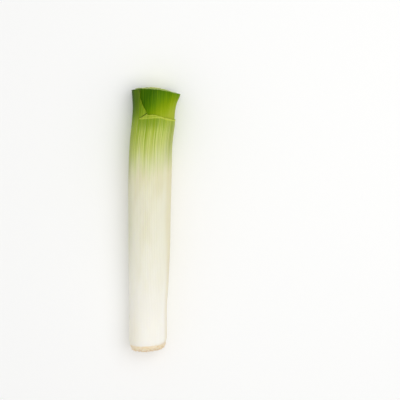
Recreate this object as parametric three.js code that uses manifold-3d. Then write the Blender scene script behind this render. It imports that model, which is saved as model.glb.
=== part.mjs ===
// A leek trimmed for sale, lying on its side: nine leaves wrapped round each other in a long pale shaft,
// cut across at the green end, and the root plate that they all grow from, with its roots trimmed to stubs.
// Millimetres. +Y runs along the shaft from the roots to the cut leaves, +Z is up, +X is to the right.
import * as THREE from 'three';
import { mergeVertices } from 'three/addons/utils/BufferGeometryUtils.js';
import Module from 'manifold-3d';

const wasm = await Module();
wasm.setup();

// Driving dimensions. A place along the leek is its distance from the tip of the root plate.
const leekLength = 276.5;
const referenceRadius = 22;
const leafGap = 0.3;
const restingSink = 0.5;

// The shaft's own form, at the places where it changes: [place, sideways bend of the centreline,
// half width, half height, roundness], where a roundness of 2 is an ellipse and less is keeled.
const shaftForm = [
  [0, -0.7, 19.4, 19.1, 2],
  [6, -0.7, 19.6, 19.3, 2],
  [15, -0.7, 19.9, 19.6, 2],
  [42, -0.45, 19.7, 19.4, 2],
  [75, 0.5, 21.0, 20.7, 2],
  [110, 1.2, 21.8, 21.5, 2],
  [150, 1.4, 22.2, 21.9, 2],
  [190, 2.2, 22.7, 22.3, 2],
  [220, 3.2, 22.3, 21.8, 1.98],
  [246, 6.1, 22.7, 20.8, 1.92],
  [262, 7.3, 22.8, 20.0, 1.86],
  [280, 8.2, 23.3, 19.4, 1.8],
];

// The leaves from the outside in. sides is how many faces go round each, keelLeft and keelRight are how far
// its folds lean out at the cut, and rise is how far it has grown past the cut.
const leaves = [
  { thickness: 1.5, sides: 64, keelLeft: 1.7, keelRight: 0, rise: 0 },
  { thickness: 2.0, sides: 48, keelLeft: 1.3, keelRight: 3.8, rise: 0 },
  { thickness: 2.0, sides: 40, keelLeft: 1.0, keelRight: 2.6, rise: 0.3 },
  { thickness: 2.1, sides: 32, keelLeft: 0.7, keelRight: 1.6, rise: 0.1 },
  { thickness: 2.1, sides: 28, keelLeft: 0.3, keelRight: 0.6, rise: 0.7 },
  { thickness: 2.0, sides: 24, keelLeft: 0.2, keelRight: 0.5, rise: 0.5 },
  { thickness: 1.8, sides: 20, keelLeft: 0.1, keelRight: 0.3, rise: 1.1 },
  { thickness: 1.6, sides: 16, keelLeft: 0, keelRight: 0.1, rise: 0.9 },
  { thickness: 0, sides: 12, keelLeft: 0, keelRight: 0, rise: 1.6 },
];

// Places along the shaft at which the outermost leaf and the others have a ring of corners.
const outerRings = [14, 30, 60, 90, 125, 160, 190, 220, 240, 252, 262, 269];
const innerRings = [42, 110, 160, 190, 220, 246, 262];
const kneeOfCut = 262;

// Each leaf's keel leans out from keelStart up, ever faster, and is confined to the leaf's side.
const keelStart = 250;
const keelCurl = 1.2;
const keelNarrowness = 3;

// The outermost leaf thins towards its mouth, and the leaves inside it fill the room that this leaves.
const thinningFrom = 190;
const thinningTo = 240;
const thinning = 0.7;

// Ribs stand out of the outer leaves and fade towards the white end.
const ribbedLeaves = 2;
const ribCount = 32;
const ribHeight = 0.13;
const ribsFadeFrom = 25;
const ribsFullAt = 130;

// The knife went across a little askew: lowest on the right, and the outer leaf's keel is cut back.
const cutHighestAt = -13;
const cutFall = 0.0045;
const keelTrimFrom = -14.5;
const keelTrimSlope = 0.25;

// Places that lie clear of the leek, for cutting right through it.
const pastCut = 284;
const farAside = 60;

// The mouth and margin of each opened leaf, seen from above: [distance right of the centreline, place].
// The first leaf's margin hangs a little over its mouth, with a notch between them.
const mouthOfLeaf1 = [[28, 243.2], [22.4, 244.2], [15.4, 246.4], [7, 248.6], [0.8, 249.6], [-6.6, 249.4],
  [-12.6, 246.6], [-7, 251.8], [-10.3, 256.7], [-13.2, 261.5], [-15.6, 267.8], [-16.1, 276],
  [-16.1, pastCut]];
const mouthOfLeaf2 = [[-28, 266.5], [-23, 268], [-20.5, 271.5], [-19.3, 276], [-19.3, pastCut]];

// The root plate: a flat dome with a well rounded edge below, a low cone above, and a sloping cut. The higher
// domeFlatness is, the flatter its middle.
const plateRadius = 18.9;
const plateRim = 6.4;
const plateRise = 6;
const plateSides = 28;
const domeFlatness = 6;
const domeRings = 7;
const rootAskew = 0.07;
const askewFadesBy = 45;

// The stubs of the trimmed roots: how far they spread, stand out, sink in and vary.
const stubCount = 62;
const stubSides = 6;
const stubSpread = 16.4;
const stubSink = 1.6;
const stubProud = [0.5, 1.2];
const stubRadius = [0.75, 1.1];
const stubTaper = 0.8;

// The shaft's form at any place, as a smooth curve through shaftForm.
const formCurve = new THREE.CubicInterpolant(
  shaftForm.map((row) => row[0]), shaftForm.flatMap((row) => row.slice(1)), 4);

function formAt(place) {
  const inRange = THREE.MathUtils.clamp(place, 0, shaftForm.at(-1)[0]);
  const [bend, halfWidth, halfHeight, roundness] = formCurve.evaluate(inRange);
  return { bend, halfWidth, halfHeight, roundness };
}

// The height of the knife's cut above the root tip, at a distance right of the centreline.
function cutAt(right, n) {
  const trim = n === 0 ? keelTrimSlope * Math.max(0, keelTrimFrom - right) : 0;
  return leekLength + leaves[n].rise - cutFall * (right - cutHighestAt) ** 2 - trim;
}

// How far a point near the root plate is moved along the leek by the plate's askew cut.
function askewAt(right, place) {
  return rootAskew * right * (1 - THREE.MathUtils.smoothstep(place, 0, askewFadesBy));
}

// A point of leaf n. share is its distance from the centreline as a share of the shaft's radius, and angle
// goes round the shaft from +X over +Z. The skin's lowest line lies restingSink under the surface at z = 0.
function leekPoint(share, angle, place, n) {
  const form = formAt(place);
  const swell = 2 / form.roundness;
  const c = Math.cos(angle);
  const s = Math.sin(angle);
  const lean = THREE.MathUtils.smoothstep(place, keelStart, leekLength) ** keelCurl;
  const keel = (c > 0 ? leaves[n].keelRight : leaves[n].keelLeft) * c ** keelNarrowness;
  const right = form.halfWidth * share * Math.sign(c) * Math.abs(c) ** swell + lean * keel;
  const up = form.halfHeight * share * Math.sign(s) * Math.abs(s) ** swell;
  let along = place;
  if (place > kneeOfCut) {
    const reach = (place - kneeOfCut) / (leekLength - kneeOfCut);
    along = kneeOfCut + reach * (cutAt(right, n) - kneeOfCut);
  }
  const axisHeight = form.halfHeight - restingSink;
  return new THREE.Vector3(right + form.bend, along + askewAt(right, along), up + axisHeight);
}

// Gives every corner of a geometry turned round the Y axis its place in leaf n, or in the root plate, which
// has the innermost leaf's plain form. Before, its distance from the axis is its share of the shaft's radius.
function shapeToLeek(geometry, n = leaves.length - 1) {
  const position = geometry.getAttribute('position');
  for (let i = 0; i < position.count; i += 1) {
    const share = Math.hypot(position.getX(i), position.getZ(i));
    const angle = Math.atan2(position.getZ(i), position.getX(i));
    const place = position.getY(i);
    const onRibbedSkin = n < ribbedLeaves && share > shareAt(depths[n], place) - 1e-4;
    const rib = onRibbedSkin ? ribHeight * THREE.MathUtils.smoothstep(place, ribsFadeFrom, ribsFullAt) : 0;
    const wave = Math.cos(ribCount * angle) - 1;
    position.setXYZ(i, ...leekPoint(share + (rib * wave) / referenceRadius, angle, place, n));
  }
  return geometry;
}

// Closed solids of manifold-3d, from and to three.js geometries.
function toSolid(geometry) {
  const bare = geometry.index ? geometry.toNonIndexed() : geometry.clone();
  bare.deleteAttribute('normal');
  bare.deleteAttribute('uv');
  const merged = mergeVertices(bare, 1e-4);
  return new wasm.Manifold(new wasm.Mesh({
    numProp: 3,
    vertProperties: merged.attributes.position.array,
    triVerts: new Uint32Array(merged.index.array),
  }));
}

function toGeometry(solid) {
  const mesh = solid.getMesh();
  const geometry = new THREE.BufferGeometry();
  geometry.setAttribute('position', new THREE.BufferAttribute(mesh.vertProperties, 3));
  geometry.setIndex(new THREE.BufferAttribute(mesh.triVerts, 1));
  geometry.computeVertexNormals();
  return geometry;
}

// A prism through the whole leek over an outline seen from above.
function prismOver(outline) {
  const shape = new THREE.Shape(outline.map(([x, y]) => new THREE.Vector2(x, y)));
  const prism = new THREE.ExtrudeGeometry(shape, { depth: 80, bevelEnabled: false });
  prism.translate(0, 0, -20);
  return toSolid(prism);
}

// What a leaf loses on its open side: everything beyond its mouth and margin.
function openingOf(mouth) {
  const aside = Math.sign(mouth[0][0]) * farAside;
  const margin = mouth.map(([right, place]) => [right + formAt(place).bend, place]);
  return prismOver([...margin, [aside, pastCut], [aside, mouth[0][1]]]);
}

// The root plate's upper face rises to its middle. Each leaf starts a gap above it.
function plateTop(share) {
  return plateRim + plateRise * (1 - share);
}

// How far in each leaf's outer skin lies, in millimetres at the reference radius.
const depths = leaves.map((_, n) => leaves.slice(0, n)
  .reduce((sum, leaf) => sum + leaf.thickness + leafGap, 0));

// The share of the shaft's radius at a depth under its skin, where the first leaf's thinning lets it swell.
function shareAt(depth, place) {
  const thinned = THREE.MathUtils.clamp((place - thinningFrom) / (thinningTo - thinningFrom), 0, 1);
  return 1 - (depth - (depth > 0 ? thinned * thinning : 0)) / referenceRadius;
}

function leafProfile(n) {
  const outerDepth = depths[n];
  const innerDepth = outerDepth + leaves[n].thickness;
  const isHeart = n === leaves.length - 1;
  const rings = n === 0 ? outerRings : innerRings;
  const foot = plateTop(isHeart ? 0 : shareAt(innerDepth, 0)) + leafGap;
  const places = [foot, ...rings, leekLength];
  const outerWall = places.map((place) => new THREE.Vector2(shareAt(outerDepth, place), place));
  if (isHeart) {
    return [new THREE.Vector2(0, foot), ...outerWall, new THREE.Vector2(0, leekLength)];
  }
  const innerWall = places.map((place) => new THREE.Vector2(shareAt(innerDepth, place), place)).reverse();
  return [...outerWall, ...innerWall, outerWall[0].clone()];
}

function leafSolid(n) {
  return toSolid(shapeToLeek(new THREE.LatheGeometry(leafProfile(n), leaves[n].sides), n));
}

// Everything under the surface that the leek lies on.
function belowSurface() {
  const block = new THREE.BoxGeometry(120, 400, 20);
  block.translate(0, leekLength / 2, -10);
  return toSolid(block);
}

// Repeatable random numbers between two limits.
function seededDice(seed) {
  let state = seed;
  return ([low, high]) => {
    state = (state * 16807) % 2147483647;
    return low + ((high - low) * state) / 2147483647;
  };
}

// The root plate's dome from its tip to its rim: [radius, height] points on a flattened quarter circle.
function domeProfile() {
  return Array.from({ length: domeRings + 1 }, (_, ring) => {
    const turn = (ring / domeRings) * (Math.PI / 2);
    return [plateRadius * Math.sin(turn) ** (2 / domeFlatness), plateRim * (1 - Math.cos(turn))];
  });
}

// The height and the slope of the dome at a distance from its middle.
function domeAt(radius) {
  const reach = (radius / plateRadius) ** domeFlatness;
  const level = Math.sqrt(1 - reach);
  return {
    height: plateRim * (1 - level),
    slope: (plateRim * domeFlatness * reach) / (2 * radius * level),
  };
}

// One trimmed root: a short tapered peg, sunk into the dome and square to it.
function rootStub(radius, angle, proud, thick) {
  const dome = domeAt(radius);
  const out = new THREE.Vector3(dome.slope * Math.cos(angle), -1, dome.slope * Math.sin(angle)).normalize();
  const peg = new THREE.CylinderGeometry(thick * stubTaper, thick, proud + stubSink, stubSides);
  peg.translate(0, (proud - stubSink) / 2, 0);
  peg.applyQuaternion(new THREE.Quaternion().setFromUnitVectors(new THREE.Vector3(0, 1, 0), out));
  peg.translate(...leekPoint(radius / formAt(plateRim).halfWidth, angle, dome.height, leaves.length - 1));
  return toSolid(peg);
}

// The root plate with its stubs, which the golden angle spreads evenly over the dome.
function rootPlate() {
  const rimWidth = formAt(plateRim).halfWidth;
  const profile = [
    ...domeProfile().map(([radius, height]) => new THREE.Vector2(radius / rimWidth, height)),
    new THREE.Vector2(0, plateTop(0)),
  ];
  const goldenAngle = Math.PI * (3 - Math.sqrt(5));
  const dice = seededDice(7);
  let solid = toSolid(shapeToLeek(new THREE.LatheGeometry(profile, plateSides)));
  for (let i = 0; i < stubCount; i += 1) {
    const radius = stubSpread * Math.sqrt((i + 0.5) / stubCount);
    solid = solid.add(rootStub(radius, i * goldenAngle, dice(stubProud), dice(stubRadius)));
  }
  return solid;
}

const outerGreen = new THREE.MeshStandardMaterial({ color: 0xd9deb4, roughness: 0.45, metalness: 0 });
const bladeGreen = new THREE.MeshStandardMaterial({ color: 0xa3bf52, roughness: 0.42, metalness: 0 });
const innerPale = new THREE.MeshStandardMaterial({ color: 0xe3eab4, roughness: 0.5, metalness: 0 });
const rootTan = new THREE.MeshStandardMaterial({ color: 0xd9bd8c, roughness: 0.8, metalness: 0 });

const leek = new THREE.Group();

function addPiece(name, solid, material) {
  const mesh = new THREE.Mesh(toGeometry(solid), material);
  mesh.name = name;
  leek.add(mesh);
}

leaves.forEach((_, n) => {
  let solid = leafSolid(n);
  if (n === 0) solid = solid.subtract(openingOf(mouthOfLeaf1)).subtract(belowSurface());
  if (n === 1) solid = solid.subtract(openingOf(mouthOfLeaf2));
  addPiece(`leaf_${n + 1}`, solid, [outerGreen, bladeGreen][n] ?? innerPale);
});
addPiece('root_plate', rootPlate(), rootTan);

// The origin is under the middle of the leek, on the surface that it lies on.
const extent = new THREE.Box3().setFromObject(leek);
const middle = extent.getCenter(new THREE.Vector3());
leek.position.set(-middle.x, -middle.y, -extent.min.z);

export default leek;
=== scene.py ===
# a trimmed leek on its side on a pale table, seen from above
import math
import bpy
import bmesh
import numpy as np
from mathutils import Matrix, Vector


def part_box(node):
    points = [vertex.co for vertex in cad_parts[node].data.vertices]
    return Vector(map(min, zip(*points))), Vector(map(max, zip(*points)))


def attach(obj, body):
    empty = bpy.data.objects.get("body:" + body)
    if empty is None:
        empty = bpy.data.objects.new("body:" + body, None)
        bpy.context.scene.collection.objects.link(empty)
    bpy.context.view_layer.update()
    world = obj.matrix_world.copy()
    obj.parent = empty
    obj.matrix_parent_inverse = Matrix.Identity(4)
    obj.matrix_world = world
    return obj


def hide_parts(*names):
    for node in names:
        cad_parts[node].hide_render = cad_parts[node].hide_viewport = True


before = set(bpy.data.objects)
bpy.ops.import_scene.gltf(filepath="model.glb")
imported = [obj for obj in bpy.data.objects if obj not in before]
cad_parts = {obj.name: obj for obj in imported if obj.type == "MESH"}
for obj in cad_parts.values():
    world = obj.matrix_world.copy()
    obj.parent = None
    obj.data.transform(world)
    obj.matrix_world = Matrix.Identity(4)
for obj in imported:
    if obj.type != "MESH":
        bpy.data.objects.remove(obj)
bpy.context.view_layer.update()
mm = 0.001


# small helpers
def paint(code):
    # a screen colour such as "7c9a20" as the linear colour that a socket takes
    parts = [int(code[i:i + 2], 16) / 255 for i in (0, 2, 4)]
    linear = [p / 12.92 if p <= 0.04045 else ((p + 0.055) / 1.055) ** 2.4 for p in parts]
    return (*linear, 1.0)


def easeStep(x, low, high):
    t = np.clip((np.asarray(x, float) - low) / (high - low), 0, 1)
    return t * t * (3 - 2 * t)


def smoothThrough(xs, ys, x):
    # a smooth curve through a few points, level with its neighbours at each
    xs, ys, x = np.array(xs, float), np.array(ys, float), np.asarray(x, float)
    slopes = np.gradient(ys, xs)
    i = np.clip(np.searchsorted(xs, x, side="right") - 1, 0, len(xs) - 2)
    width = xs[i + 1] - xs[i]
    t = np.clip((x - xs[i]) / width, 0, 1)
    return ((2 * t**3 - 3 * t**2 + 1) * ys[i] + (t**3 - 2 * t**2 + t) * width * slopes[i]
            + (3 * t**2 - 2 * t**3) * ys[i + 1] + (t**3 - t**2) * width * slopes[i + 1])


def waves(angle, parts):
    # a sum of waves round the leek: how many, how strong, and where each one starts
    return sum(strength * np.sin(count * angle + start) for count, strength, start in parts)


def anglesRound(columns):
    # from the underside, by the right
    return -math.pi / 2 + 2 * math.pi * np.arange(columns) / columns


def node(tree, kind, inputs=None, **settings):
    made = tree.nodes.new(kind)
    for name, value in settings.items():
        setattr(made, name, value)
    for name, value in (inputs or {}).items():
        feed(tree, value, made.inputs[name])
    return made


def feed(tree, value, socket):
    if isinstance(value, bpy.types.NodeSocket):
        tree.links.new(value, socket)
    else:
        socket.default_value = value


def calc(tree, operation, *values, clamp=False):
    made = tree.nodes.new("ShaderNodeMath")
    made.operation = operation
    made.use_clamp = clamp
    for value, socket in zip(values, made.inputs):
        feed(tree, value, socket)
    return made.outputs[0]


def product(tree, first, *others):
    for other in others:
        first = calc(tree, "MULTIPLY", first, other)
    return first


def shifted(tree, value, streak, reach):
    # the value moved up and down by a streak's lighter and darker parts
    return calc(tree, "MULTIPLY_ADD", calc(tree, "SUBTRACT", streak, 0.5), reach, value)


def scaled(tree, vector, factor):
    made = node(tree, "ShaderNodeVectorMath", {"Scale": factor}, operation="SCALE")
    feed(tree, vector, made.inputs[0])
    return made.outputs["Vector"]


def noiseOf(tree, vector, scale, detail, output=0):
    made = node(tree, "ShaderNodeTexNoise", {"Vector": vector, "Scale": scale, "Detail": detail})
    return made.outputs[output]


def splitOf(tree, vector):
    return node(tree, "ShaderNodeSeparateXYZ", {"Vector": vector}).outputs


def joined(tree, **axes):
    return node(tree, "ShaderNodeCombineXYZ", axes).outputs[0]


def geometry(tree, kind, inputs):
    return node(tree, "GeometryNode" + kind, inputs).outputs[0]


def stored(tree, shape, name, value, kind):
    made = node(tree, "GeometryNodeStoreNamedAttribute", {
        "Geometry": shape, "Name": name, "Value": value}, data_type=kind, domain="POINT")
    return made.outputs["Geometry"]


def readBack(tree, name, kind):
    made = node(tree, "GeometryNodeInputNamedAttribute", {"Name": name}, data_type=kind)
    return made.outputs["Attribute"]


def vectorCalc(tree, operation, *values):
    made = tree.nodes.new("ShaderNodeVectorMath")
    made.operation = operation
    for value, socket in zip(values, made.inputs):
        feed(tree, value, socket)
    return made.outputs["Value" if operation in ("LENGTH", "DOT_PRODUCT", "DISTANCE") else "Vector"]


def rangeOf(tree, value, fromLow, fromHigh, toLow=0.0, toHigh=1.0, smooth=True):
    made = node(tree, "ShaderNodeMapRange", interpolation_type="SMOOTHSTEP" if smooth else "LINEAR")
    for name, given in (("Value", value), ("From Min", fromLow), ("From Max", fromHigh),
                        ("To Min", toLow), ("To Max", toHigh)):
        feed(tree, given, made.inputs[name])
    return made.outputs["Result"]


def blendColours(tree, share, first, second, mode="MIX"):
    made = node(tree, "ShaderNodeMix", data_type="RGBA", blend_type=mode)
    feed(tree, share, made.inputs[0])
    feed(tree, first, made.inputs[6])
    feed(tree, second, made.inputs[7])
    return made.outputs[2]


def ramp(tree, value, stops):
    made = node(tree, "ShaderNodeValToRGB", {"Fac": value})
    elements = made.color_ramp.elements
    elements.remove(elements[1])
    elements[0].position, elements[0].color = stops[0][0], paint(stops[0][1])
    for place, code in stops[1:]:
        elements.new(place).color = paint(code)
    return made.outputs["Color"]


def newTree(name, kind, inputs, outputs):
    tree = bpy.data.node_groups.new(name, kind)
    for label, socketKind in inputs.items():
        tree.interface.new_socket(label, in_out="INPUT", socket_type="NodeSocket" + socketKind)
    for label, socketKind in outputs.items():
        tree.interface.new_socket(label, in_out="OUTPUT", socket_type="NodeSocket" + socketKind)
    return tree, tree.nodes.new("NodeGroupInput").outputs, tree.nodes.new("NodeGroupOutput").inputs


def applyTree(piece, tree, values):
    # runs a node tree on a piece, and keeps the result as the piece's own plain mesh
    modifier = piece.modifiers.new(tree.name, "NODES")
    modifier.node_group = tree
    for item in tree.interface.items_tree:
        if item.item_type == "SOCKET" and item.in_out == "INPUT" and item.name in values:
            modifier[item.identifier] = values[item.name]
    graph = bpy.context.evaluated_depsgraph_get()
    made = bpy.data.meshes.new_from_object(
        piece.evaluated_get(graph), preserve_all_data_layers=True, depsgraph=graph)
    piece.modifiers.remove(modifier)
    old = piece.data
    piece.data = made
    made.name = piece.name
    if old.users == 0:
        bpy.data.meshes.remove(old)


# the leek's form, in millimetres from the tip of the root plate
leek = {
    "length": 276.5, "radius": 22.0, "gap": 0.3, "sink": 0.5,
    "place": [0, 6, 15, 42, 75, 110, 150, 190, 220, 246, 262, 280],
    "bend": [-0.7, -0.7, -0.7, -0.45, 0.5, 1.2, 1.4, 2.2, 3.2, 6.1, 7.3, 8.2],
    "halfWidth": [19.4, 19.6, 19.9, 19.7, 21.0, 21.8, 22.2, 22.7, 22.3, 22.7, 22.8, 23.3],
    "halfHeight": [19.1, 19.3, 19.6, 19.4, 20.7, 21.5, 21.9, 22.3, 21.8, 20.8, 20.0, 19.4],
    "roundness": [2, 2, 2, 2, 2, 2, 2, 2, 1.98, 1.92, 1.86, 1.8],
    "knee": 262, "keelStart": 250, "keelCurl": 1.2, "keelNarrowness": 3,
    "cutHighestAt": -13, "cutFall": 0.0041, "keelTrimFrom": -14.5, "keelTrimSlope": 0.12,
    "cutRaise": 0.3, "cutTilt": 0.9, "cutUnevenness": 0.13,
    "cutWaves": [(5, 1, 1), (13, 0.7, 2), (31, 0.5, 5)],
    "thinningFrom": 190, "thinningTo": 240, "thinning": 0.7,
    "askew": 0.07, "askewFadesBy": 45,
    "plateRadius": 18.9, "plateRim": 6.4, "plateRise": 6.0, "domeFlatness": 6, "formSteps": 600,
}

# from the outside in: how thick each leaf is, how far its keels spread near the cut, how far it stands out
leaves = {
    "thickness": [1.5, 2.0, 2.0, 2.1, 2.1, 2.0, 1.8, 1.6, 0.0],
    "keelLeft": [1.7, 1.3, 1.0, 0.7, 0.3, 0.2, 0.1, 0.0, 0.0],
    "keelRight": [0.0, 3.8, 2.6, 1.6, 0.6, 0.5, 0.3, 0.1, 0.0],
    "rise": [0.0, 0.0, 0.3, 0.1, 0.7, 0.5, 1.1, 0.9, 1.6],
}
heartNumber = len(leaves["rise"]) - 1


def formAt(name, place):
    return smoothThrough(leek["place"], leek[name], place)


# where the leek lies in the frame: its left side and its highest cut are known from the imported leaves
along = np.linspace(0, leek["length"], leek["formSteps"])
leftmost = float((formAt("bend", along) - formAt("halfWidth", along)).min())
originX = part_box("leaf_1")[0][0] / mm - leftmost
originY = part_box("leaf_2")[1][1] / mm - leek["length"]


def cutAt(right, share, angle, n):
    # the knife's cut falls away to the right, leans a little, and isn't quite even
    trim = leek["keelTrimSlope"] * np.maximum(0, leek["keelTrimFrom"] - right) if n == 0 else 0
    fall = leek["cutFall"] * (right - leek["cutHighestAt"]) ** 2 + trim
    wave = waves(angle, [(count, strength, turn * n) for count, strength, turn in leek["cutWaves"]])
    lift = leek["cutRaise"] + share * (leek["cutTilt"] * np.sin(angle) + leek["cutUnevenness"] * wave)
    return leek["length"] + leaves["rise"][n] - fall + lift


def shareAt(depth, place):
    # how far out a depth under the skin lies, as a share of the shaft's radius
    thinned = np.clip((place - leek["thinningFrom"]) / (leek["thinningTo"] - leek["thinningFrom"]), 0, 1)
    return 1 - (depth - (depth > 0) * thinned * leek["thinning"]) / leek["radius"]


def rightOf(share, angle, place, n):
    c = np.cos(angle)
    swell = 2 / formAt("roundness", place)
    lean = easeStep(place, leek["keelStart"], leek["length"]) ** leek["keelCurl"]
    keel = np.where(c > 0, leaves["keelRight"][n], leaves["keelLeft"][n]) * c ** leek["keelNarrowness"]
    return formAt("halfWidth", place) * share * np.sign(c) * np.abs(c) ** swell + lean * keel


def farAt(share, right, angle, place, n):
    # past the knee the places are stretched so that they end at the cut
    reach = (place - leek["knee"]) / (leek["length"] - leek["knee"])
    cut = cutAt(right, share, angle, n)
    return np.where(place > leek["knee"], leek["knee"] + reach * (cut - leek["knee"]), place)


def leekPoint(share, angle, place, n):
    # the place in the frame, in metres, of a point of leaf n
    s = np.sin(angle)
    swell = 2 / formAt("roundness", place)
    right = rightOf(share, angle, place, n)
    up = formAt("halfHeight", place) * share * np.sign(s) * np.abs(s) ** swell
    far = farAt(share, right, angle, place, n)
    far = far + leek["askew"] * right * (1 - easeStep(far, 0, leek["askewFadesBy"]))
    height = up + formAt("halfHeight", place) - leek["sink"]
    return np.stack([right + formAt("bend", place) + originX, far + originY, height], axis=-1) * mm


print("leek: form ready")


# leaves: each a closed shell of rings round the shaft
shell = {
    "restGap": 0.12,            # what is left between two leaves
    "crescent": [0.12, 0.22, 0.22, 0.2, 0.2, 0.16, 0.12, 0.1, 0],   # how much thicker a wall is at its keel
    "crescentFrom": 150, "crescentFull": 262,
    "ringWobble": 0.016, "ringWaves": [(2, 1, 0.6), (3, 0.6, 2.1), (5, 0.4, 4.0)],
    "unevenness": 0.12, "dents": [(2, 1, 0, 1 / 61), (3, 0.8, 1.2, -1 / 33), (1, 0.6, 0, 1 / 19)],
    "marginThinning": 0.45, "marginReach": 5.0,
    "marginWaves": [(9, 0.22, 1.0), (23, 0.15, 0), (41, 0.1, 2.0)],
    "roundedEdge": 0.16,        # and its rings: how far through the wall, and how much of the rounding
    "edgeRings": [(0.0, 1), (0.03, 0.3), (0.1, 0), (0.35, 0), (0.65, 0), (0.9, 0), (0.97, 0.3), (1.0, 1)],
    # the outer leaf's foot turns in over the plate and sinks into it, lowest on top, highest on the right
    "footPlace": 5.5, "footLean": 0.9, "footDip": 2.0, "footSink": 0.25, "footRagged": 0.16,
    "footGap": 0.05, "footWaves": [(11, 1, 1), (29, 0.7, 0), (53, 0.6, 2)],
    "tuckFrom": 11.5, "tuckThinning": 0.6,
    "columns": [512, 512, 320, 256, 208, 176, 144, 112, 96],
    "outerRings": [140, 110, 34, 30, 30, 28, 28, 26, 26],
    "innerRings": [30, 26, 18, 16, 16, 14, 14, 12, 12],
    "crowding": 1.9,            # how much closer the rings lie towards the top
    "lowestMouth": 238, "mouthSteps": 900, "almostCut": 0.01,
}

# the outer leaf's mouth and margin, and the second leaf's: distances right of the centreline, and places
mouths = {
    0: {"right": [-16.15, -16.1, -15.6, -13.2, -10.3, -7.2, -6.6, 0.8, 7, 15.4, 22.4, 28],
        "place": [300, 276, 267.8, 261.5, 257, 252.6, 250.5, 250.6, 249, 246.4, 244.2, 243.2]},
    1: {"right": [-28, -23, -20.5, -19.3, -19.25],
        "place": [266.5, 268, 271.5, 276, 300]},
}

# the crease down from the outer leaf's tongue, on the upper side only, where its blade laps the mouth
crease = {
    "tip": (-6.9, 252.3), "end": (-14.5, 246.3), "depth": 1.0, "width": 0.5,
    "fullBy": 0.55, "goneBy": 1.25, "startsBefore": -2.5,      # the first two as shares of its length
    "lap": 0.5, "lapWidth": 2.2, "lapFrom": 0.3, "lapFull": -0.6,
}

# the mouth's lip: a roll along the edge, and a second line below it
lip = {
    "right": [-14.5, 1, 8, 13.5, 28], "place": [246.3, 247.8, 247.7, 245.6, 242],
    "edgeRoll": 0.22, "edgeRollAt": 0.6, "edgeRollWidth": 0.8, "edgeRollFrom": -0.5,
    "lineRoll": 0.12, "lineWidth": 0.6, "offCrease": 0.2, "farAway": 90.0,
}


def creaseAt(right, place, angle):
    # the crease's depth, and how much of it a point has
    tip, end = np.array(crease["tip"]), np.array(crease["end"])
    length = np.hypot(*(end - tip))
    way = (end - tip) / length
    ahead = (right - tip[0]) * way[0] + (place - tip[1]) * way[1]
    aside = (right - tip[0]) * way[1] - (place - tip[1]) * way[0]      # above 0 on the mouth's side
    reach = easeStep(ahead, crease["goneBy"] * length, crease["fullBy"] * length) * (np.sin(angle) > 0)
    reach = reach * easeStep(ahead, crease["startsBefore"], 0)
    groove = reach * np.exp(-(aside / crease["width"]) ** 2)
    lap = easeStep(aside, crease["lapFrom"], crease["lapFull"]) * np.exp(-(aside / crease["lapWidth"]) ** 2)
    return crease["depth"] * groove - crease["lap"] * reach * lap, groove


def lipAt(right, place, angle):
    # how far below the mouth's edge a point lies, how far below the second line, and how high the rolls are
    off = lip["offCrease"]
    edgeRight = [crease["end"][0], crease["tip"][0] - off] + mouths[0]["right"][6:]
    edgePlace = [crease["end"][1], crease["tip"][1] - off] + mouths[0]["place"][6:]
    clear = (right < edgeRight[0]) | ((right < edgeRight[1]) & (np.sin(angle) < 0))
    below = np.where(clear, lip["farAway"], np.interp(right, edgeRight, edgePlace) - place)
    second = np.where(clear, lip["farAway"], np.interp(right, lip["right"], lip["place"]) - place)
    edge = np.exp(-((below - lip["edgeRollAt"]) / lip["edgeRollWidth"]) ** 2)
    edge = edge * (below > lip["edgeRollFrom"])
    line = np.exp(-(second / lip["lineWidth"]) ** 2)
    return below, second, lip["edgeRoll"] * edge + lip["lineRoll"] * line


def keelAngle(n):
    return math.pi if n % 2 == 0 else 0.0


def wallDepths(n, angle, place):
    # how deep the outer and the inner face of leaf n lie under the shaft's skin
    upper = easeStep(place, shell["crescentFrom"], shell["crescentFull"])
    base = np.zeros_like(angle * place)
    for k in range(n + 1):
        thick = leaves["thickness"][k] * (1 + shell["crescent"][k] * np.cos(angle - keelAngle(k)) * upper)
        outer = base
        base = base + thick + leek["gap"]
    tight = leek["gap"] - shell["restGap"] if n > 0 else 0
    return outer - tight, outer + thick


def wobbled(share, angle, place):
    # the rings lie a little unevenly in each other, and the whole shaft isn't quite round
    upper = easeStep(place, shell["crescentFrom"], shell["crescentFull"])
    ring = waves(angle, shell["ringWaves"])
    share = share + shell["ringWobble"] * upper * ring * 4 * share * (1 - share)
    dent = waves(angle, [(count, strength, start + place * twist)
                         for count, strength, start, twist in shell["dents"]])
    return share * (1 + shell["unevenness"] * dent / leek["radius"])


def topOf(n, angle):
    # how far up each column of leaf n reaches: to its mouth or margin, or to the knife's cut
    if n not in mouths:
        return np.full_like(angle, leek["length"])
    steps = np.linspace(shell["lowestMouth"], leek["length"], shell["mouthSteps"])[:, None]
    right = rightOf(1.0, angle[None, :], steps, n)
    far = farAt(1.0, right, angle[None, :], steps, n)
    margin = np.interp(right, mouths[n]["right"], mouths[n]["place"])
    beyond = far > margin + waves(angle, shell["marginWaves"])[None, :]
    first = np.where(beyond.any(axis=0), beyond.argmax(axis=0), len(steps) - 1)
    return steps[first, 0]


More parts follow.
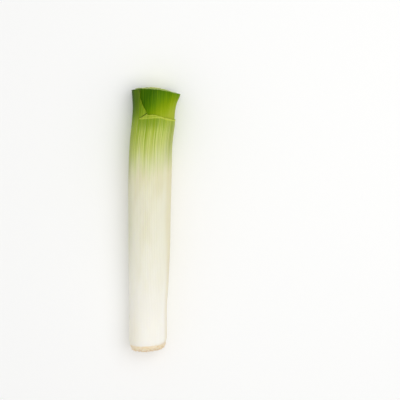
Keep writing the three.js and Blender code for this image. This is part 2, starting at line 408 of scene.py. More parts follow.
def ringMesh(name, points, attributes, cutRings, cutColumns=None, closed=True):
    # a mesh of rings of points; closed joins the last ring to the first
    ringCount, columns = points.shape[:2]
    k, j = np.divmod(np.arange((ringCount if closed else ringCount - 1) * columns), columns)
    ring, nextRing = k * columns, (k + 1) % ringCount * columns
    nextJ = (j + 1) % columns
    faces = np.stack([ring + j, ring + nextJ, nextRing + nextJ, nextRing + j], axis=1)
    mesh = bpy.data.meshes.new(name)
    mesh.from_pydata(points.reshape(-1, 3).tolist(), [], faces.tolist())
    for label, values in attributes.items():
        vector = values.ndim == 3
        layer = mesh.attributes.new(label, "FLOAT_VECTOR" if vector else "FLOAT", "POINT")
        layer.data.foreach_set("vector" if vector else "value", np.asarray(values, "f").ravel())
    layer = mesh.attributes.new("cutFace", "BOOLEAN", "FACE")
    cut = np.isin(k, cutRings)
    if cutColumns is not None:
        cut &= cutColumns[j] & cutColumns[nextJ]
    layer.data.foreach_set("value", cut)
    work = bmesh.new()
    work.from_mesh(mesh)
    bmesh.ops.remove_doubles(work, verts=work.verts, dist=1e-6)
    bmesh.ops.recalc_face_normals(work, faces=work.faces)
    work.to_mesh(mesh)
    work.free()
    piece = bpy.data.objects.new(name, mesh)
    bpy.context.scene.collection.objects.link(piece)
    return piece


def shellAttributes(n, paths, walls, rims):
    # where a point is round and along the leaf, how far into its wall and below its end, and in which leaf
    walls = np.array(walls)
    inward = np.full_like(walls, n / heartNumber)
    return {"leafPath": np.array(paths), "wall": walls, "rim": np.array(rims), "inward": inward}


rimShare = leek["plateRadius"] / float(formAt("halfWidth", leek["plateRim"]))


def plateShareAt(place):
    # how wide the root plate is at a place
    turn = np.arccos(1 - np.clip(place / leek["plateRim"], 0, 1))
    return rimShare * np.sin(turn) ** (2 / leek["domeFlatness"])


def footAt(angle):
    # how far down the outer leaf reaches over the root plate
    dip = shell["footDip"] * np.maximum(np.sin(angle), 0) ** 2
    ragged = shell["footRagged"] * waves(angle, shell["footWaves"])
    return shell["footPlace"] + shell["footLean"] * np.cos(angle) - dip + ragged


def leafShell(n):
    columns = shell["columns"][n]
    angle = anglesRound(columns)
    top = topOf(n, angle)
    innerShare = float(np.mean(shareAt(wallDepths(n, angle, np.zeros(1))[1], 0.0)))
    foot = leek["plateRim"] + leek["plateRise"] * (1 - innerShare) + shell["footGap"]
    if n == 0:
        foot = footAt(angle)
        tuck = (1 - plateShareAt(foot)) * leek["radius"] + shell["footSink"]
    natural = (top < leek["length"] - shell["almostCut"]).astype(float)
    rings, paths, walls, rims, creases, lips = [], [], [], [], [], []

    def addRing(reach, wall, back=0.0):
        # reach goes from the foot to the top, wall from the outer face to the inner one
        place = foot + (top - foot) * reach - back
        outer, inner = wallDepths(n, angle, place)
        below = np.maximum(top - place, 0)
        thinned = shell["marginThinning"] * np.exp(-below / shell["marginReach"])
        outer = outer + natural * (inner - outer) * thinned
        groove, tucked, creased = 0.0, 0.0, np.zeros(columns)
        if n == 0:
            right = rightOf(1.0, angle, place, n)
            groove, creased = creaseAt(right, place, angle)
            belowEdge, belowLine, roll = lipAt(right, place, angle)
            groove = groove - roll
            lips.append(np.stack([belowEdge, belowLine, place - foot], axis=-1) * mm)
            tucked = tuck * np.clip((shell["tuckFrom"] - place) / (shell["tuckFrom"] - foot), 0, 1) ** 2
        depth = outer + (inner - outer) * wall
        share = wobbled(shareAt(depth, place), angle, place)
        share = share - (groove * (1 - wall) + tucked * (1 - shell["tuckThinning"] * wall)) / leek["radius"]
        rings.append(leekPoint(share, angle, place, n))
        paths.append(np.stack([np.cos(angle), np.sin(angle), place * mm], axis=-1))
        walls.append(np.full(columns, wall))
        rims.append(below * mm)
        creases.append(creased)

    outerCount, innerCount = shell["outerRings"][n], shell["innerRings"][n]
    for i in range(outerCount):
        addRing(1 - (1 - i / outerCount) ** shell["crowding"], 0.0)
    for wall, rounding in shell["edgeRings"]:
        addRing(1.0, wall, rounding * shell["roundedEdge"])
    for i in range(innerCount):
        addRing(1 - ((i + 1) / innerCount) ** shell["crowding"], 1.0)
    points = np.array(rings)
    points[..., 2] = np.maximum(points[..., 2], 0)
    cutRings = range(outerCount, outerCount + len(shell["edgeRings"]) - 1)
    attributes = shellAttributes(n, paths, walls, rims) | {"crease": np.array(creases)}
    if n == 0:
        attributes["lip"] = np.array(lips)
    return ringMesh(f"leaf_{n + 1}_skin", points, attributes, cutRings, natural < 0.5)


# the innermost leaf is still rolled: a solid roll with a slit round its cut and a crease across it
heart = {"rings": [0.96, 0.88, 0.76, 0.74, 0.72, 0.6, 0.45, 0.3, 0.15, 0.0], "slitAt": 0.74, "slit": 1.1,
         "creaseWithin": 0.7, "crease": 0.9, "creaseWidth": 0.16, "rounding": 0.2, "wall": 0.72}


def heartShell(n):
    columns = shell["columns"][n]
    angle = anglesRound(columns)
    foot = leek["plateRim"] + leek["plateRise"] + shell["footGap"]
    rings, paths, walls, rims = [], [], [], []

    def addRing(place, inward, depth=0.0):
        outer, _ = wallDepths(n, angle, np.full(columns, place))
        share = wobbled(shareAt(outer, place), angle, place) * inward
        point = leekPoint(share, angle, np.full(columns, place), n)
        point[:, 1] -= depth * mm * np.exp(-(np.sin(angle) * inward / heart["creaseWidth"]) ** 2)
        rings.append(point)
        paths.append(np.stack([np.cos(angle), np.sin(angle), np.full(columns, place * mm)], axis=-1))
        walls.append(np.full(columns, 0.0 if inward == 1 else heart["wall"]))
        rims.append(np.full(columns, (leek["length"] - place) * mm))

    addRing(foot, 0.0)
    outerCount = shell["outerRings"][n]
    for i in range(outerCount):
        addRing(foot + (leek["length"] - heart["rounding"] - foot) * (i / (outerCount - 1)), 1.0)
    for inward in heart["rings"]:
        slit = heart["slit"] * (inward == heart["slitAt"])
        addRing(leek["length"] - slit, inward, heart["crease"] * (inward < heart["creaseWithin"]))
    cutRings = range(outerCount, len(rings))
    attributes = shellAttributes(n, paths, walls, rims)
    return ringMesh(f"leaf_{n + 1}_skin", np.array(rings), attributes, cutRings, closed=False)


# ribs run up every leaf and stand out of its outer face
ribs = {"count": [74, 70, 58, 50, 42, 36, 30, 24, 18], "height": 0.13, "fadeFrom": 12, "fullAt": 150,
        "spread": 2.6, "seed": 3.0, "spacingNoise": (3.0, 4.0), "spacingPlay": 3.0, "sharpness": 1.5,
        "strengthNoise": (12.0, 5.0), "strengthPlay": 2.6, "strengthMiddle": 0.62, "clearOfTable": 0.6}


def ribTree():
    tree, given, out = newTree("raiseRibs", "GeometryNodeTree", {
        "Leaf": "Geometry", "Rib Count": "Int", "Rib Height": "Float", "Fade From": "Float",
        "Full At": "Float", "Spacing Play": "Float", "Seed": "Float", "Skin": "Material",
        "Cut": "Material"}, {"Leaf": "Geometry"})
    path = readBack(tree, "leafPath", "FLOAT_VECTOR")
    split = splitOf(tree, path)
    around = calc(tree, "ARCTAN2", split["Y"], split["X"])

    def playAlong(across, lengthwise):
        stretched = vectorCalc(tree, "MULTIPLY", path, (across, across, lengthwise))
        made = node(tree, "ShaderNodeTexNoise", {"Vector": stretched, "W": given["Seed"], "Scale": 1.0,
                                                  "Detail": 1.0}, noise_dimensions="4D")
        return calc(tree, "SUBTRACT", made.outputs[0], 0.5)

    play = product(tree, playAlong(*ribs["spacingNoise"]), given["Spacing Play"], ribs["spacingPlay"])
    phase = calc(tree, "MULTIPLY_ADD", around, given["Rib Count"], play)
    wave = calc(tree, "MULTIPLY_ADD", calc(tree, "COSINE", phase), 0.5, 0.5)
    strength = calc(tree, "MULTIPLY_ADD", playAlong(*ribs["strengthNoise"]), ribs["strengthPlay"],
                    ribs["strengthMiddle"], clamp=True)
    rib = calc(tree, "MULTIPLY", calc(tree, "POWER", wave, ribs["sharpness"]), strength)
    onSkin = calc(tree, "LESS_THAN", readBack(tree, "wall", "FLOAT"), 0.001)
    fade = rangeOf(tree, split["Z"], given["Fade From"], given["Full At"])
    height = splitOf(tree, geometry(tree, "InputPosition", {}))["Z"]
    clear = rangeOf(tree, height, 0.0, ribs["clearOfTable"] * mm)
    sink = product(tree, calc(tree, "SUBTRACT", rib, 1.0), given["Rib Height"], onSkin, clear, fade)
    ribbed = stored(tree, given["Leaf"], "rib", rib, "FLOAT")
    offset = scaled(tree, geometry(tree, "InputNormal", {}), sink)
    moved = geometry(tree, "SetPosition", {"Geometry": ribbed, "Offset": offset})
    smooth = geometry(tree, "SetShadeSmooth", {"Geometry": moved})
    real = geometry(tree, "RealizeInstances", {"Geometry": smooth})
    skinned = geometry(tree, "SetMaterial", {"Geometry": real, "Material": given["Skin"]})
    cut = geometry(tree, "SetMaterial", {
        "Geometry": skinned, "Selection": readBack(tree, "cutFace", "BOOLEAN"), "Material": given["Cut"]})
    feed(tree, cut, out["Leaf"])
    return tree


# root plate: a dome that the trimmed roots stand out of
roots = {
    "columns": 160, "domeRings": 44, "topGap": 0.1, "innerDisc": (0.98, 0.6, 0.3, 0.0),
    "tipRing": (0.3, 1 / 9), "taper": 0.7, "thicknessPlay": (0.72, 1.15), "lengthPlay": (0.7, 1.15),
    "grain": 900.0, "lowest": 0.05, "rayFrom": 30, "centrePlace": 3, "rayLength": 200,
    # count, spread, radius, length, sink, sides, seed, bend and roughness of each kind
    "stubs": (88, 17.4, 0.92, 2.3, 1.4, 16, 4, 0.28, 0.22),
    "buds": (210, 18.5, 0.5, 1.15, 0.7, 10, 21, 0.5, 0.3),
    "fibres": (120, 18.6, 0.13, 2.1, 0.4, 5, 11, 1.2, 1.6),
}


def rootDome():
    columns = roots["columns"]
    angle = anglesRound(columns)
    profile = []
    for turn in np.linspace(0, math.pi / 2, roots["domeRings"]):
        profile.append((rimShare * math.sin(turn) ** (2 / leek["domeFlatness"]),
                        leek["plateRim"] * (1 - math.cos(turn))))
    profile.insert(1, tuple(np.array(profile[1]) * roots["tipRing"]))
    for t in roots["innerDisc"]:
        profile.append((rimShare * t, leek["plateRim"] + (leek["plateRise"] - roots["topGap"]) * (1 - t)))
    rings, paths = [], []
    for share, place in profile:
        rings.append(leekPoint(np.full(columns, share), angle, np.full(columns, place), heartNumber))
        paths.append(np.stack([np.cos(angle) * share, np.sin(angle) * share,
                               np.full(columns, place * mm)], axis=-1))
    return ringMesh("root_plate_skin", np.array(rings), {"leafPath": np.array(paths)}, [], closed=False)


def stubTree():
    tree, given, out = newTree("standRoots", "GeometryNodeTree", {
        "Plate": "Geometry", "Count": "Int", "Spread": "Float", "Centre": "Vector", "Root Radius": "Float",
        "Root Length": "Float", "Sink": "Float", "Sides": "Int", "Seed": "Int", "Bend": "Float",
        "Roughness": "Float", "Roots": "Material"}, {"Plate": "Geometry"})
    index = geometry(tree, "InputIndex", {})
    turn = calc(tree, "MULTIPLY", index, math.pi * (3 - math.sqrt(5)))
    share = calc(tree, "DIVIDE", calc(tree, "ADD", index, 0.5), given["Count"])
    radius = calc(tree, "MULTIPLY", calc(tree, "SQRT", share), given["Spread"])
    spot = joined(tree, X=calc(tree, "MULTIPLY", radius, calc(tree, "COSINE", turn)),
                  Z=calc(tree, "MULTIPLY", radius, calc(tree, "SINE", turn)))
    points = geometry(tree, "Points", {
        "Count": given["Count"], "Position": vectorCalc(tree, "ADD", spot, given["Centre"])})
    ray = node(tree, "GeometryNodeRaycast", {
        "Target Geometry": given["Plate"], "Ray Direction": (0.0, 1.0, 0.0),
        "Ray Length": roots["rayLength"] * mm})
    landed = geometry(tree, "SetPosition", {
        "Geometry": stored(tree, points, "outward", ray.outputs["Hit Normal"], "FLOAT_VECTOR"),
        "Position": ray.outputs["Hit Position"]})

    # one root: a tapered peg whose tip attribute says how far up it a point is
    depth = calc(tree, "ADD", given["Root Length"], given["Sink"])
    peg = node(tree, "GeometryNodeMeshCone", {
        "Vertices": given["Sides"], "Side Segments": 4, "Fill Segments": 2,
        "Radius Top": calc(tree, "MULTIPLY", given["Root Radius"], roots["taper"]),
        "Radius Bottom": given["Root Radius"], "Depth": depth}, fill_type="TRIANGLE_FAN")
    position = geometry(tree, "InputPosition", {})
    axes = splitOf(tree, position)
    tip = rangeOf(tree, axes["Z"], given["Sink"], depth, smooth=False)
    lowered = geometry(tree, "Transform", {
        "Geometry": stored(tree, peg.outputs["Mesh"], "tip", tip, "FLOAT"),
        "Translation": joined(tree, Z=calc(tree, "MULTIPLY", given["Sink"], -1.0))})

    def dice(low, high, shift, kind="FLOAT"):
        made = node(tree, "FunctionNodeRandomValue", {
            "Seed": calc(tree, "ADD", given["Seed"], float(shift))}, data_type=kind)
        first = 2 if kind == "FLOAT" else 0
        made.inputs[first].default_value = low
        made.inputs[first + 1].default_value = high
        return made.outputs[1 if kind == "FLOAT" else 0]

    play = scaled(tree, dice((-1, -1, -1), (1, 1, 1), 1, "FLOAT_VECTOR"), given["Bend"])
    lean = vectorCalc(tree, "ADD", readBack(tree, "outward", "FLOAT_VECTOR"), play)
    aim = node(tree, "FunctionNodeAlignRotationToVector", {"Vector": lean}, axis="Z")
    thick = dice(*roots["thicknessPlay"], 2)
    placed = geometry(tree, "InstanceOnPoints", {
        "Points": landed, "Instance": lowered, "Rotation": aim.outputs[0],
        "Scale": joined(tree, X=thick, Y=thick, Z=dice(*roots["lengthPlay"], 3))})
    real = geometry(tree, "RealizeInstances", {"Geometry": placed})
    grainColour = noiseOf(tree, position, roots["grain"], 1.0, "Color")
    shake = scaled(tree, vectorCalc(tree, "SUBTRACT", grainColour, (0.5, 0.5, 0.5)),
                   calc(tree, "MULTIPLY", given["Root Radius"], given["Roughness"]))
    shaken = geometry(tree, "SetPosition", {"Geometry": real, "Offset": shake})
    above = joined(tree, X=axes["X"], Y=axes["Y"], Z=calc(tree, "MAXIMUM", axes["Z"], roots["lowest"] * mm))
    lifted = geometry(tree, "SetPosition", {"Geometry": shaken, "Position": above})
    rooted = geometry(tree, "SetMaterial", {"Geometry": lifted, "Material": given["Roots"]})
    both = node(tree, "GeometryNodeJoinGeometry")
    feed(tree, rooted, both.inputs[0])
    feed(tree, given["Plate"], both.inputs[0])
    feed(tree, geometry(tree, "SetShadeSmooth", {"Geometry": both.outputs[0]}), out["Plate"])
    return tree


# shader groups that several finishes share
def streakTree():
    tree, given, out = newTree("lengthStreaks", "ShaderNodeTree", {
        "Path": "Vector", "Across": "Float", "Lengthwise": "Float", "Detail": "Float"}, {"Streak": "Float"})
    size = joined(tree, X=given["Across"], Y=given["Across"], Z=given["Lengthwise"])
    noise = noiseOf(tree, vectorCalc(tree, "MULTIPLY", given["Path"], size), 1.0, given["Detail"])
    feed(tree, rangeOf(tree, noise, 0.27, 0.73, smooth=False), out["Streak"])
    return tree


# fine relief of a leaf's skin: veins, hair lines and cells
skinGrain = {"lines": (75.0, 75.0, 14.0), "cells": (130.0, 130.0, 900.0), "lineShare": 0.6,
             "ribShare": 0.5, "depth": 0.0004}


def reliefTree():
    tree, given, out = newTree("skinRelief", "ShaderNodeTree", {
        "Path": "Vector", "Rib": "Float", "Cells": "Float"}, {"Height": "Float"})
    lines = noiseOf(tree, vectorCalc(tree, "MULTIPLY", given["Path"], skinGrain["lines"]), 1.0, 2.0)
    cells = noiseOf(tree, vectorCalc(tree, "MULTIPLY", given["Path"], skinGrain["cells"]), 1.0, 1.0)
    height = calc(tree, "MULTIPLY_ADD", lines, skinGrain["lineShare"],
                  calc(tree, "MULTIPLY", given["Rib"], skinGrain["ribShare"]))
    feed(tree, calc(tree, "MULTIPLY_ADD", cells, given["Cells"], height), out["Height"])
    return tree


streaks, relief = streakTree(), reliefTree()


def attribute(tree, name, output="Fac"):
    return node(tree, "ShaderNodeAttribute", attribute_name=name).outputs[output]


def grouped(tree, group, output, inputs):
    made = node(tree, "ShaderNodeGroup", node_tree=group)
    for name, value in inputs.items():
        feed(tree, value, made.inputs[name])
    return made.outputs[output]


def streaksOf(tree, path, across, lengthwise, detail=3.0):
    return grouped(tree, streaks, "Streak", {
        "Path": path, "Across": across, "Lengthwise": lengthwise, "Detail": detail})


def newFinish(name, roughness, subsurface, coat=0.0, gloss=0.3):
    material = bpy.data.materials.new(name)
    material.use_nodes = True
    shader = material.node_tree.nodes["Principled BSDF"]
    for label, value in (("Roughness", roughness), ("Specular IOR Level", gloss), ("IOR", 1.42),
                         ("Subsurface Weight", subsurface), ("Subsurface Radius", (0.004, 0.005, 0.002)),
                         ("Subsurface Scale", 1.0), ("Coat Weight", coat), ("Coat Roughness", 0.25)):
        shader.inputs[label].default_value = value
    return material, material.node_tree, shader


def bumped(tree, shader, height, strength, distance):
    bump = node(tree, "ShaderNodeBump", {"Height": height, "Strength": strength, "Distance": distance})
    feed(tree, bump.outputs[0], shader.inputs["Normal"])


def wearSkin(tree, shader, base, path, fine, look):
    # a leaf's colour, its fine relief, and streaks in how rough it is
    feed(tree, base, shader.inputs["Base Color"])
    if "roughness" in look:
        rough = rangeOf(tree, fine, 0.0, 1.0, *look["roughness"], smooth=False)
        feed(tree, rough, shader.inputs["Roughness"])
    height = grouped(tree, relief, "Height", {
        "Path": path, "Rib": attribute(tree, "rib"), "Cells": look["cells"]})
    bumped(tree, shader, height, look["bump"], skinGrain["depth"])


def pathOf(tree):
    path = attribute(tree, "leafPath", "Vector")
    split = splitOf(tree, path)
    return path, split["X"], split["Z"]


def shareOf(tree, values, ranges):
    # the product of some ranges, each: what, from, to, the share at from and at to; or of a value as it is
    return product(tree, *(rangeOf(tree, values[name], *numbers) if numbers else values[name]
                           for name, *numbers in ranges))


def layered(tree, base, values, layers, multiplied=None):
    # colours laid over a base one by one, each with the ranges that its share is made of
    for name, (code, *ranges) in layers.items():
        mode = "MULTIPLY" if name == multiplied else "MIX"
        base = blendColours(tree, shareOf(tree, values, ranges), base, paint(code), mode)
    return base


# the outer leaf: white at the roots, greening in streaks towards its mouth, dark on its blade, with painted
# shade on its sides, in its left fold and in the crease under its tongue
outer = {
    "streaks": {"fine": (34.0, 10.0), "broad": (4.0, 7.0), "mottled": (1.6, 22.0, 2.0),
                "hair": (26.0, 5.0, 2.0), "patchy": (13.0, 45.0)},
    "green": (0.11, 0.275), "greenZone": (0.43, 0.66), "fineReach": 0.013, "broadReach": 0.014,
    "rightLag": (0.195, 0.235, -0.004, -0.012),
    "stops": [(0.0, "edebd6"), (0.3, "e9e7cf"), (0.46, "e4e1bf"), (0.558, "d6daa4"), (0.648, "c1ca70"),
              (0.745, "a8b93c"), (0.82, "92a91e"), (0.88, "7f9b12"), (0.94, "6a8808"), (1.0, "567402")],
    # layers: a colour, then the ranges that make its share, with places in metres
    "lowLayers": {
        "root": ("fbf9ee", ("place", 0.02, 0.13, 1, 0)),
        "mottle": ("ece4cc", ("mottled", 0.3, 0.9, 0, 0.26), ("place", 0.03, 0.16, 0.4, 1))},
    # tints where the leaf rounds off, painted shade along its left and right edges and a painted warm
    # reflection on its right, with a pale tan tint on its left near the foot: share at most, from and to how
    # far across, then the places where each one starts and is full, and where it begins to fade and is gone
    "sides": [("dccb90", 0.34, 0.62, 1.0, 0.06, 0.14, 0.17, 0.24),
              ("dcc590", 0.42, 0.8, 1.0, -0.1, -0.05, 0.09, 0.13),
              ("e8d9a8", 0.2, -0.25, -0.7, -0.1, -0.05, 0.02, 0.06),
              ("a3aa70", 0.24, -0.7, -1.0, 0.07, 0.14, 0.17, 0.24),
              ("7f8a42", 0.42, -0.82, -0.98, 0.17, 0.192, 0.228, 0.246),
              ("8c9a3c", 0.3, -0.66, -0.86, 0.19, 0.21, 0.228, 0.246),
              ("848f22", 0.42, 0.58, 0.84, 0.186, 0.226, 0.236, 0.246)],
    "paintedSideStreaks": (0, 1, 0.75, 1.2),
    "veinSharpness": 1.6, "foldShadeReach": (0.016, 0.022), "footReach": 0.0024,
    # the blade's dark fold streaks and painted shade down its left side, the painted shade darkest at the
    # outermost edge
    "folds": [("fine", 0.3, 0.75, 0.25, 1), ("across", -0.6, -0.84, 0, 0.55), ("place", 0.238, 0.256)],
    "outermost": [("across", -0.84, -0.95, 0, 0.74), ("streaked", 0.226, 0.258)],
    # the mouth's lip: a pale edge, a paler band down to a second line, and that line
    "lipEdge": [("belowEdge", 0.0004, 0.0012, 0.75, 0)],
    "lipBand": [("belowLine", -0.0002, 0.0002, 0.22, 0)],
    "lipLine": [("offLine", 0.0003, 0.0009, 1, 0), ("across", -0.5, 0.5, 0.35, 0.6)],
    "highLayers": {
        "darkLines": ("6a8c0c", ("fine", 0.45, 0.85, 0, 0.3), ("greenZone",)),
        "hairs": ("dde58c", ("hair", 0.58, 0.7, 0, 0.5), ("greenZone",), ("place", 0.234, 0.252, 1, 0.14)),
        "darkHairs": ("5f8a00", ("hair", 0.42, 0.3, 0, 0.4), ("green", 0.5, 0.8)),
        "veins": ("dfe696", ("vein",), ("greenZone", 0, 1, 0.03, 0.42), ("patchy", 0.1, 0.8, 0.5, 1),
                  ("place", 0.24, 0.256, 1, 0.12)),
        # dark fold streaks and painted shade on the blade's left side
        "fold": ("2a4603", ("foldAndEdgeShade",)),
        "underLip": ("5f8400", ("belowLine", 0.0003, 0.0012), ("belowLine", 0.004, 0.016, 1, 0),
                     ("across", 0.1, 0.7, 1, 0.3), ("hair", 0.4, 0.62, 0.12, 0.6)),
        "lip": ("c9d450", ("onLip",), ("belowEdge", -0.0002, 0.0001)),
        "margin": ("8ca01c", ("rim", 0.0003, 0.0012, 0.6, 0), ("belowEdge", -0.0002, 0.0001, 1, 0)),
        # painted shadow in the crease where the blade laps the mouth
        "gap": ("2c4c04", ("crease", 0.2, 0.8, 0, 0.85)),
        "foot": ("f0dcb4", ("aboveFoot", 0.0004, 0.0042, 0.75, 0), ("broad", 0, 1, 0.6, 1))},
    "roughness": (0.36, 0.48), "cells": 0.15, "bump": 0.35,
}


def outerSkin():
    material, tree, shader = newFinish("outerSkin", roughness=0.42, subsurface=0.1, gloss=0.08)
    path, across, place = pathOf(tree)
    values = {name: streaksOf(tree, path, *size) for name, size in outer["streaks"].items()}
    fine, broad = values["fine"], values["broad"]
    greening = shifted(tree, shifted(tree, place, fine, outer["fineReach"]), broad, outer["broadReach"])
    greening = calc(tree, "MULTIPLY_ADD", across, rangeOf(tree, place, *outer["rightLag"]), greening)
    green = rangeOf(tree, greening, *outer["green"], smooth=False)
    fromLip = splitOf(tree, attribute(tree, "lip", "Vector"))
    foldShadeFine, foldShadeBroad = outer["foldShadeReach"]
    values |= {
        "across": across, "place": place, "green": green,
        "greenZone": rangeOf(tree, green, *outer["greenZone"]),
        "vein": calc(tree, "POWER", attribute(tree, "rib"), outer["veinSharpness"]),
        "streaked": shifted(tree, shifted(tree, place, fine, foldShadeFine), broad, foldShadeBroad),
        "belowEdge": fromLip["X"], "belowLine": fromLip["Y"],
        "offLine": calc(tree, "ABSOLUTE", fromLip["Y"]),
        "aboveFoot": shifted(tree, fromLip["Z"], fine, outer["footReach"]),
        "rim": attribute(tree, "rim"), "crease": attribute(tree, "crease")}
    marks = {name: shareOf(tree, values, outer[name])
             for name in ("folds", "outermost", "lipEdge", "lipBand", "lipLine")}
    # the share of the fold streaks and of the painted shade at the left edge
    values["foldAndEdgeShade"] = calc(tree, "MAXIMUM", marks["folds"], marks["outermost"])
    values["onLip"] = calc(tree, "MAXIMUM", marks["lipEdge"],
                           calc(tree, "MAXIMUM", marks["lipBand"], marks["lipLine"]))
    base = ramp(tree, green, outer["stops"])
    base = layered(tree, base, values, outer["lowLayers"], multiplied="mottle")
    # painted shade and a painted warm reflection along the leaf's sides, with the pale tan tint near the
    # foot
    for code, most, low, high, starts, full, fades, gone in outer["sides"]:
        share = shareOf(tree, values, [("across", low, high, 0, most), ("place", fades, gone, 1, 0),
                                       ("place", starts, full), ("broad", *outer["paintedSideStreaks"])])
        base = blendColours(tree, share, base, paint(code))
    base = layered(tree, base, values, outer["highLayers"])
    wearSkin(tree, shader, base, path, fine, outer)
    return material


# the second leaf: yellow green at the outer leaf's mouth and on its right, dark green at the cut
blade = {
    "fine": (34.0, 12.0), "broad": (3.5, 14.0), "dark": (0.2352, 0.276), "leftLead": 0.5,
    "fineReach": 0.22, "broadReach": 0.16, "veinSharpness": 1.6, "veinShare": 0.2,
    "stops": [(0.0, "a3b130"), (0.1, "9aac28"), (0.2, "91a616"), (0.3, "869e0a"), (0.42, "769200"),
              (0.58, "5f8400"), (0.75, "4b7300"), (0.9, "406900"), (1.0, "355f00")],
    "layers": {
        "veins": ("a6bd18", ("vein",)),
        "hidden": ("ecedcf", ("place", 0.12, 0.236, 1, 0)),
        "rim": ("a9b860", ("rim", 0.0001, 0.0006, 0.4, 0))},
    "roughness": (0.34, 0.46), "cells": 0.2, "bump": 0.4,
}


def bladeSkin():
    material, tree, shader = newFinish("bladeSkin", roughness=0.4, subsurface=0.04, gloss=0.05)
    path, across, place = pathOf(tree)
    fine = streaksOf(tree, path, *blade["fine"])
    broad = streaksOf(tree, path, *blade["broad"])
    dark = rangeOf(tree, place, *blade["dark"], smooth=False)
    dark = calc(tree, "MULTIPLY_ADD", across, -blade["leftLead"], dark)
    dark = shifted(tree, shifted(tree, dark, fine, blade["fineReach"]), broad, blade["broadReach"])
    vein = calc(tree, "POWER", attribute(tree, "rib"), blade["veinSharpness"])
    values = {"place": place, "rim": attribute(tree, "rim"),
              "vein": calc(tree, "MULTIPLY", vein, blade["veinShare"])}
    base = layered(tree, ramp(tree, dark, blade["stops"]), values, blade["layers"])
    wearSkin(tree, shader, base, path, fine, blade)
    return material


# the leaves inside them, seen only at the cut
inner = {"stops": [(0.0, "f4f2df"), (0.6, "eeefc4"), (0.85, "d3dd86"), (1.0, "b4c653")],
         "fine": (20.0, 9.0), "fineReach": 0.02, "green": (0.06, 0.277), "veinShare": 0.15,
         "layers": {"veins": ("f0f2d2", ("vein",))}, "cells": 0.15, "bump": 0.3}


def innerSkin():
    material, tree, shader = newFinish("innerSkin", roughness=0.38, subsurface=0.15, coat=0.1)
    path, _, place = pathOf(tree)
    fine = streaksOf(tree, path, *inner["fine"])
    green = rangeOf(tree, shifted(tree, place, fine, inner["fineReach"]), *inner["green"], smooth=False)
    values = {"vein": calc(tree, "MULTIPLY", attribute(tree, "rib"), inner["veinShare"])}
    base = layered(tree, ramp(tree, green, inner["stops"]), values, inner["layers"])
    wearSkin(tree, shader, base, path, fine, inner)
    return material


# the knife's cut: wet flesh between two thin skins, and a round dot at each rib where a vein ends
flesh = {
    "stops": [(0.06, "567614"), (0.125, "a3b654"), (0.25, "bccb72"), (0.4, "cfd98e"), (0.65, "dfe4a2"),
              (1.0, "e6e398")],
    "grain": 1400.0, "outerSkin": (0.02, 0.14, 0.75, 0), "innerSkin": (0.88, 0.99, 0, 0.5),
    "dotDepth": 0.36, "dotSize": 0.3, "roughness": (0.3, 0.7, 0.2, 0.42),
    "layers": {
        "wet": ("eef1cc", ("grain", 0.35, 0.7, 0, 0.3)),
        "skin": ("6f9420", ("skins",)),
        "veins": ("9bb04e", ("dot", 0.35, 0.75, 0, 0.45))},
}


def cutFlesh():
    material, tree, shader = newFinish("cutFlesh", roughness=0.3, subsurface=0.2, coat=0.2)
    wall = attribute(tree, "wall")
    wet = noiseOf(tree, node(tree, "ShaderNodeTexCoord").outputs["Object"], flesh["grain"], 3.0)
    offMiddle = calc(tree, "DIVIDE", calc(tree, "SUBTRACT", wall, flesh["dotDepth"]), flesh["dotSize"])
    values = {
        "grain": wet,
        "skins": calc(tree, "MAXIMUM", rangeOf(tree, wall, *flesh["outerSkin"]),
                      rangeOf(tree, wall, *flesh["innerSkin"])),
        "dot": calc(tree, "SUBTRACT", attribute(tree, "rib"), calc(tree, "MULTIPLY", offMiddle, offMiddle))}
    base = ramp(tree, attribute(tree, "inward"), flesh["stops"])
    base = layered(tree, base, values, flesh["layers"])
    feed(tree, base, shader.inputs["Base Color"])
    feed(tree, rangeOf(tree, wet, *flesh["roughness"]), shader.inputs["Roughness"])
    bumped(tree, shader, wet, strength=0.3, distance=0.0003)
    return material


# the root plate and what is left of the roots
rootLook = {
    "flesh": "fbf4e0", "patches": 260.0, "specks": 1500.0, "speckShare": 0.4,
    "layers": {
        "dark": ("f4dfb8", ("patches", 0.42, 0.68, 0, 0.7)),
        "specks": ("dfb076", ("specks", 0.58, 0.72, 0, 0.6)),
        "rim": ("f0d8ac", ("offMiddle", 0.8, 0.95, 0, 0.55))},
    "stubs": "f6e9cb", "stubTips": "d9ab6c", "grain": 700.0, "tipShare": 0.5,
    "grainShare": (0.4, 0.7, 0, 0.6),
}


def rootFlesh():
    material, tree, shader = newFinish("rootFlesh", roughness=0.75, subsurface=0.1)
    place = node(tree, "ShaderNodeTexCoord").outputs["Object"]
    flat = vectorCalc(tree, "MULTIPLY", attribute(tree, "leafPath", "Vector"), (1.0, 1.0, 0.0))
    values = {"patches": noiseOf(tree, place, rootLook["patches"], 4.0),
              "specks": noiseOf(tree, place, rootLook["specks"], 3.0),
              "offMiddle": vectorCalc(tree, "LENGTH", flat)}
    base = layered(tree, paint(rootLook["flesh"]), values, rootLook["layers"])
    feed(tree, base, shader.inputs["Base Color"])
    height = calc(tree, "MULTIPLY_ADD", values["specks"], rootLook["speckShare"], values["patches"])
    bumped(tree, shader, height, strength=0.6, distance=0.0008)
    return material


def rootStub():
    material, tree, shader = newFinish("rootStub", roughness=0.7, subsurface=0.1)
    wood = noiseOf(tree, node(tree, "ShaderNodeTexCoord").outputs["Object"], rootLook["grain"], 3.0)
    browning = calc(tree, "MULTIPLY_ADD", attribute(tree, "tip"), rootLook["tipShare"],
                    rangeOf(tree, wood, *rootLook["grainShare"]), clamp=True)
    base = blendColours(tree, browning, paint(rootLook["stubs"]), paint(rootLook["stubTips"]))
    feed(tree, base, shader.inputs["Base Color"])
    bumped(tree, shader, wood, strength=0.5, distance=0.0004)
    return material


finishes = {"outer": outerSkin(), "blade": bladeSkin(), "inner": innerSkin(), "cut": cutFlesh(),
            "root": rootFlesh(), "stub": rootStub()}
print("leek: finishes ready")

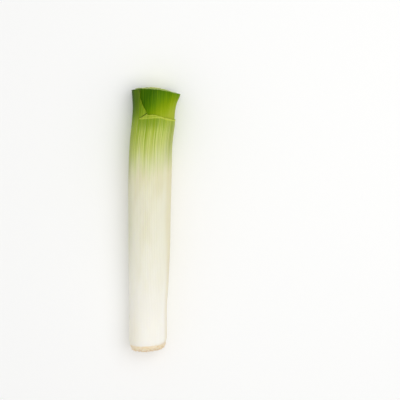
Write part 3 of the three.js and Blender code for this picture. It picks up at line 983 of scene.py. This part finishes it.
# put the leaves together
raiseRibs = ribTree()
for n in range(heartNumber + 1):
    piece = heartShell(n) if n == heartNumber else leafShell(n)
    applyTree(piece, raiseRibs, {
        "Rib Count": ribs["count"][n], "Rib Height": ribs["height"] * mm, "Fade From": ribs["fadeFrom"] * mm,
        "Full At": ribs["fullAt"] * mm, "Spacing Play": ribs["spread"], "Seed": ribs["seed"] + n,
        "Skin": finishes[["outer", "blade"][n] if n < 2 else "inner"], "Cut": finishes["cut"]})
    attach(piece, "root")
    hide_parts(f"leaf_{n + 1}")
    print("leek: leaf", n + 1, len(piece.data.polygons), "faces")

standRoots = stubTree()
plate = rootDome()
plate.data.materials.append(finishes["root"])
middleUp = float(formAt("halfHeight", roots["centrePlace"])) - leek["sink"]
middle = (originX * mm, (originY - roots["rayFrom"]) * mm, middleUp * mm)
for kind in ("stubs", "buds", "fibres"):
    count, spread, radius, length, sink, sides, seed, bend, roughness = roots[kind]
    applyTree(plate, standRoots, {
        "Count": count, "Spread": spread * mm, "Centre": middle, "Root Radius": radius * mm,
        "Root Length": (length - sink) * mm, "Sink": sink * mm, "Sides": sides, "Seed": seed,
        "Bend": bend, "Roughness": roughness, "Roots": finishes["stub"]})
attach(plate, "root")
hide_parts("root_plate")
print("leek: root plate", len(plate.data.polygons), "faces")

# the pale table, the soft light and the camera
tableLook = {"size": 6.0, "drop": 0.1, "colour": "fbfbfa", "roughness": 0.9}
bpy.ops.mesh.primitive_plane_add(size=tableLook["size"], location=(0, 0, -tableLook["drop"] * mm))
table = bpy.context.object
table.name = "table"
tableFinish = bpy.data.materials.new("tableFinish")
tableFinish.use_nodes = True
tableShader = tableFinish.node_tree.nodes["Principled BSDF"]
tableShader.inputs["Base Color"].default_value = paint(tableLook["colour"])
tableShader.inputs["Roughness"].default_value = tableLook["roughness"]
table.data.materials.append(tableFinish)

light = {"world": 0.62, "key": 9.5, "keySize": 1.3, "keyAt": (0.45, 0.2, 1.35),
         "fill": 1.5, "fillSize": 1.5, "fillAt": (-0.9, -0.5, 1.0)}


def softLight(name, watts, size, at):
    lamp = bpy.data.lights.new(name, "AREA")
    lamp.energy, lamp.size = watts, size
    holder = bpy.data.objects.new(name, lamp)
    bpy.context.scene.collection.objects.link(holder)
    holder.location = at
    holder.rotation_euler = (-holder.location).to_track_quat("-Z", "Y").to_euler()


softLight("keyLight", light["key"], light["keySize"], light["keyAt"])
softLight("fillLight", light["fill"], light["fillSize"], light["fillAt"])
world = bpy.data.worlds.new("studio")
world.use_nodes = True
world.node_tree.nodes["Background"].inputs["Color"].default_value = (1, 1, 1, 1)
world.node_tree.nodes["Background"].inputs["Strength"].default_value = light["world"]
bpy.context.scene.world = world
bpy.context.scene.view_settings.view_transform = "Standard"

# the photograph is 400 pixels square, and the leek's root end is 148 across and 352 down in it
view = {"pixels": 400, "mmPerPixel": 1.05, "distance": 2.0, "tilt": math.radians(7),
        "rootAcross": 148.1, "rootDown": 352, "sensor": 36}
half = view["pixels"] / 2
aimX = originX + (half - view["rootAcross"]) * view["mmPerPixel"]
aimY = originY + (view["rootDown"] - half) * view["mmPerPixel"]
aimZ = leek["radius"] - leek["sink"]
lens = bpy.data.cameras.new("camera")
lens.sensor_width = view["sensor"]
lens.lens = lens.sensor_width * view["distance"] / (view["pixels"] * view["mmPerPixel"] * mm)
camera = bpy.data.objects.new("camera", lens)
bpy.context.scene.collection.objects.link(camera)
camera.location = (aimX * mm, aimY * mm + view["distance"] * math.sin(view["tilt"]),
                   aimZ * mm + view["distance"] * math.cos(view["tilt"]))
camera.rotation_euler = (-view["tilt"], 0, 0)
bpy.context.scene.camera = camera

print("leek: dressed")
